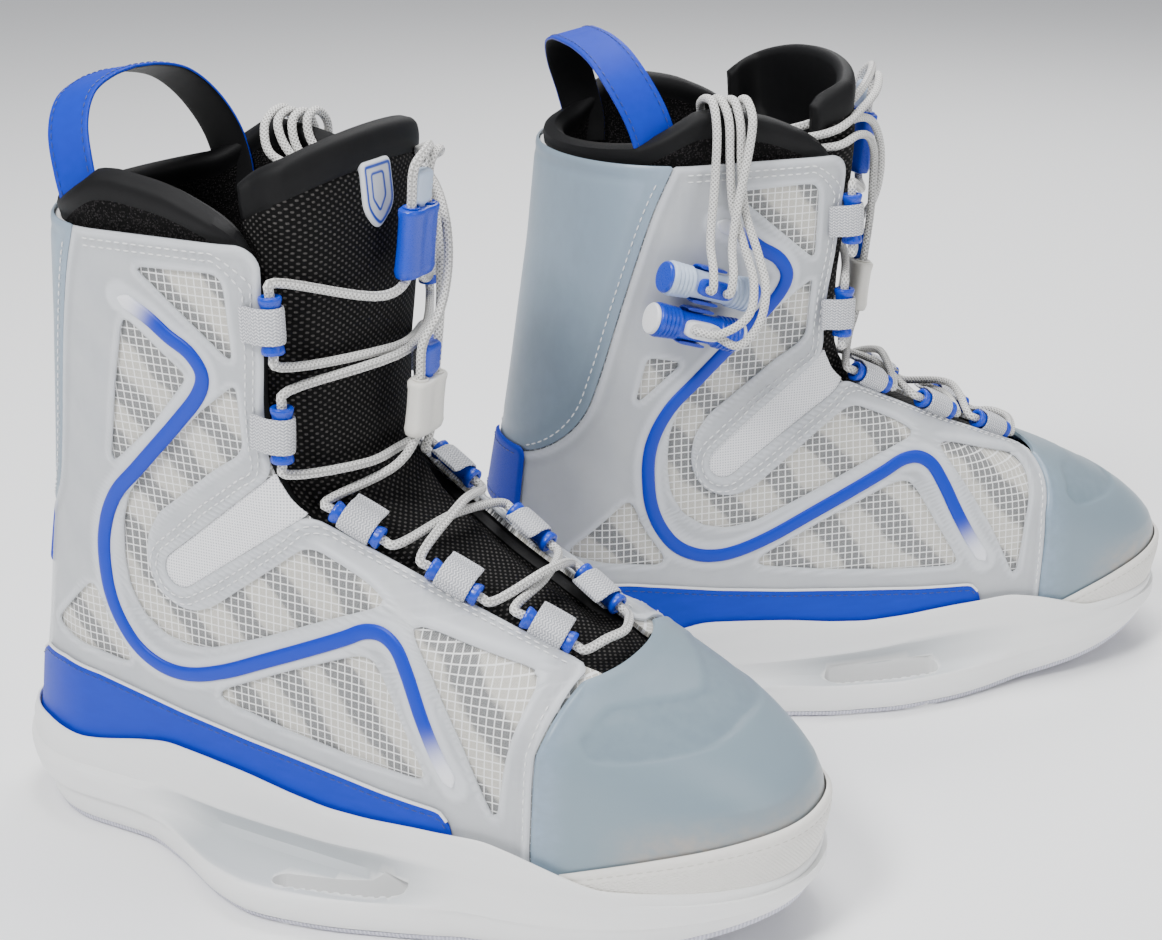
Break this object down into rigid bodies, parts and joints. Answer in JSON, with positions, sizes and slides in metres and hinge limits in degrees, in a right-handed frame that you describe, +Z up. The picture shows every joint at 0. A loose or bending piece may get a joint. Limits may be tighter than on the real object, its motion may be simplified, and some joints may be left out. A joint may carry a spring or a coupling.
{
  "type": "wakeboard boots",
  "caption": "Laced wakeboard boots standing toe-out, with frosted shells, pull straps, lace locks, docked handles and slotted soles.",
  "frame": {"origin": "centre of the pair's bounding box, on the floor", "axes": "+X is the middle of the two toes' directions, +Y is towards the left boot, +Z is up"},
  "size_m": [0.4814, 0.3646, 0.2929],
  "materials": {
    "outsole": "translucent ribbed",
    "midsole": "moulded foam",
    "footbed": "brushed",
    "quarter": "grid ripstop",
    "overlay": "frosted translucent",
    "ankle_mesh": "open mesh",
    "heel_counter": "frosted translucent",
    "heel_tab": "satin",
    "toe_cap": "frosted translucent",
    "toe_bumper": "diamond texture",
    "foxing": "smooth",
    "side_line": "satin",
    "liner": "neoprene and knit",
    "tongue": "dotted mesh",
    "badge": "moulded",
    "pull_strap": "stitched",
    "lace_guides": "gloss",
    "lace_loops": "woven webbing",
    "lower_lace": "braided",
    "upper_lace": "braided",
    "lower_lock": "satin",
    "lower_wedge": "satin",
    "upper_lock": "satin",
    "upper_wedge": "frosted translucent",
    "lower_handle": "ribbed",
    "lower_core": "satin",
    "upper_handle": "ribbed",
    "upper_core": "satin",
    "handle_dock": "satin"
  },
  "bodies": {
    "right_boot": {"right_outsole": "outsole", "right_midsole": "midsole", "right_footbed": "footbed", "right_quarter": "quarter", "right_overlay": "overlay", "right_ankle_mesh": "ankle_mesh", "right_heel_counter": "heel_counter", "right_heel_tab": "heel_tab", "right_toe_cap": "toe_cap", "right_toe_bumper": "toe_bumper", "right_foxing": "foxing", "right_side_line": "side_line", "right_liner": "liner", "right_tongue": "tongue", "right_badge": "badge", "right_pull_strap": "pull_strap", "right_lace_guides": "lace_guides", "right_lace_loops": "lace_loops", "right_lower_lace": "lower_lace", "right_upper_lace": "upper_lace", "right_lower_lock": "lower_lock", "right_upper_lock": "upper_lock", "right_handle_dock": "handle_dock"},
    "right_lower_wedge_body": {"right_lower_wedge": "lower_wedge"},
    "right_upper_wedge_body": {"right_upper_wedge": "upper_wedge"},
    "right_lower_handle_body": {"right_lower_handle": "lower_handle", "right_lower_core": "lower_core"},
    "right_upper_handle_body": {"right_upper_handle": "upper_handle", "right_upper_core": "upper_core"},
    "left_boot": {"left_outsole": "outsole", "left_midsole": "midsole", "left_footbed": "footbed", "left_quarter": "quarter", "left_overlay": "overlay", "left_ankle_mesh": "ankle_mesh", "left_heel_counter": "heel_counter", "left_heel_tab": "heel_tab", "left_toe_cap": "toe_cap", "left_toe_bumper": "toe_bumper", "left_foxing": "foxing", "left_side_line": "side_line", "left_liner": "liner", "left_tongue": "tongue", "left_badge": "badge", "left_pull_strap": "pull_strap", "left_lace_guides": "lace_guides", "left_lace_loops": "lace_loops", "left_lower_lace": "lower_lace", "left_upper_lace": "upper_lace", "left_lower_lock": "lower_lock", "left_upper_lock": "upper_lock", "left_handle_dock": "handle_dock"},
    "left_lower_wedge_body": {"left_lower_wedge": "lower_wedge"},
    "left_upper_wedge_body": {"left_upper_wedge": "upper_wedge"},
    "left_lower_handle_body": {"left_lower_handle": "lower_handle", "left_lower_core": "lower_core"},
    "left_upper_handle_body": {"left_upper_handle": "upper_handle", "left_upper_core": "upper_core"}
  },
  "joints": [
    {"name": "left_boot_away", "type": "slide", "parent": "right_boot", "child": "left_boot", "axis": [0, 1, 0], "range_m": [0, 0.15]},
    {"name": "right_lower_wedge_release", "type": "slide", "parent": "right_boot", "child": "right_lower_wedge_body", "axis": [0.1101, -0.0456, 0.9929], "range_m": [0, 0.007]},
    {"name": "right_lower_handle_undock", "type": "slide", "parent": "right_boot", "child": "right_lower_handle_body", "axis": [0.4769, 0.8789, -0.0013], "range_m": [0, 0.012], "deforming": ["right_lower_lace"]},
    {"name": "right_upper_wedge_release", "type": "slide", "parent": "right_boot", "child": "right_upper_wedge_body", "axis": [0.1101, -0.0456, 0.9929], "range_m": [0, 0.007]},
    {"name": "right_upper_handle_undock", "type": "slide", "parent": "right_boot", "child": "right_upper_handle_body", "axis": [0.4769, 0.8789, -0.0013], "range_m": [0, 0.012], "deforming": ["right_upper_lace"]},
    {"name": "left_lower_wedge_release", "type": "slide", "parent": "left_boot", "child": "left_lower_wedge_body", "axis": [0.1101, 0.0456, 0.9929], "range_m": [0, 0.007]},
    {"name": "left_lower_handle_undock", "type": "slide", "parent": "left_boot", "child": "left_lower_handle_body", "axis": [0.4769, -0.8789, -0.0013], "range_m": [0, 0.012], "deforming": ["left_lower_lace"]},
    {"name": "left_upper_wedge_release", "type": "slide", "parent": "left_boot", "child": "left_upper_wedge_body", "axis": [0.1101, 0.0456, 0.9929], "range_m": [0, 0.007]},
    {"name": "left_upper_handle_undock", "type": "slide", "parent": "left_boot", "child": "left_upper_handle_body", "axis": [0.4769, -0.8789, -0.0013], "range_m": [0, 0.012], "deforming": ["left_upper_lace"]}
  ]
}
